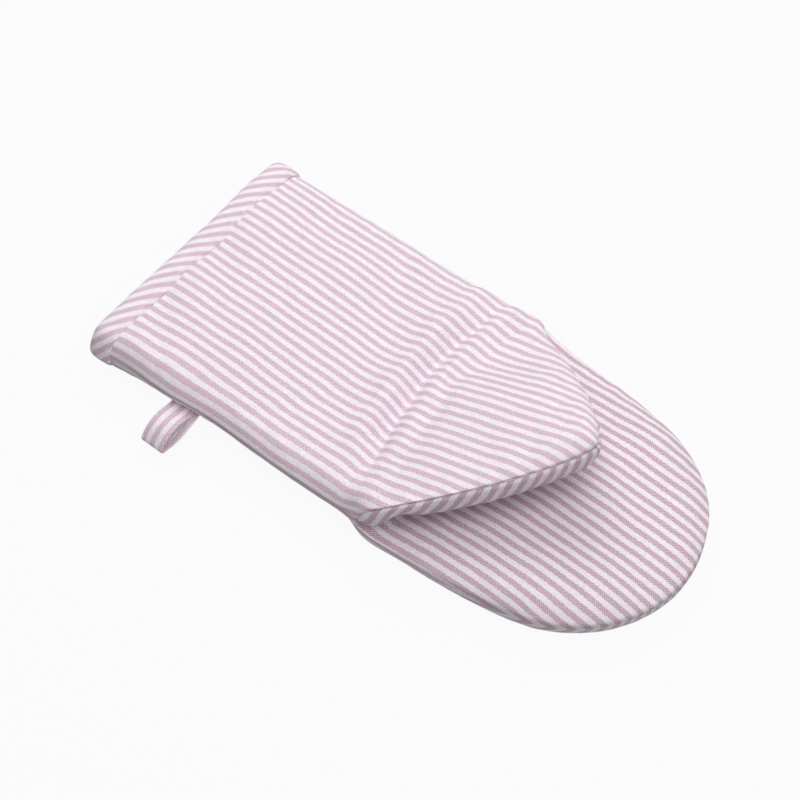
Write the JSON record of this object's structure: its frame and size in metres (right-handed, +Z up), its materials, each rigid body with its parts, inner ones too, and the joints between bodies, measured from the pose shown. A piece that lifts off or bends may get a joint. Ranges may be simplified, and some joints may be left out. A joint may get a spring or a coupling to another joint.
{
  "type": "oven mitt",
  "caption": "Quilted two-pocket oven mitt of striped cloth with a raised thumb pocket, a bound cuff and a hanging loop, lying flat.",
  "frame": {"origin": "middle of the mitt's length and width, on the flat face it lies on", "axes": "+X from the cuff to the fingertips, +Y across the hand away from the hanging loop, +Z up towards the thumb pocket"},
  "size_m": [0.33, 0.1875, 0.0721],
  "materials": {
    "striped_cloth": "matt yarn-dyed cotton in pink and white stripes",
    "wadding": "soft felted wadding",
    "lining": "plain matt cotton",
    "bias_binding": "the same striped cotton cut on the bias",
    "loop_tape": "folded striped cotton tape with edge stitching"
  },
  "bodies": {
    "mitt": {"finger_back_cloth": "striped_cloth", "finger_back_wadding": "wadding", "finger_back_lining": "lining", "wrist_cloth": "striped_cloth", "wrist_wadding": "wadding", "wrist_lining": "lining", "crease_cloth": "striped_cloth", "crease_wadding": "wadding", "crease_lining": "lining", "grip_finger_cloth": "striped_cloth", "grip_finger_wadding": "wadding", "grip_finger_lining": "lining", "cuff_binding": "bias_binding"},
    "thumb_pocket": {"thumb_cloth": "striped_cloth", "thumb_wadding": "wadding", "thumb_lining": "lining", "grip_thumb_cloth": "striped_cloth", "grip_thumb_wadding": "wadding", "grip_thumb_lining": "lining"},
    "loop": {"hanging_loop": "loop_tape"}
  },
  "joints": [
    {"name": "thumb_fold", "type": "hinge", "parent": "mitt", "child": "thumb_pocket", "pos_m": [0.014, 0, 0.0165], "axis": [0.0872, -0.9962, 0], "range_deg": [-18, 65], "stiffness_Nm_per_rad": 0.2, "springref_deg": 2.86, "deforming": ["crease_cloth", "crease_wadding", "crease_lining"]},
    {"name": "loop_swing", "type": "hinge", "parent": "mitt", "child": "loop", "pos_m": [-0.102, -0.0805, 0.011], "axis": [-1, 0, 0], "range_deg": [-50, 75]}
  ]
}
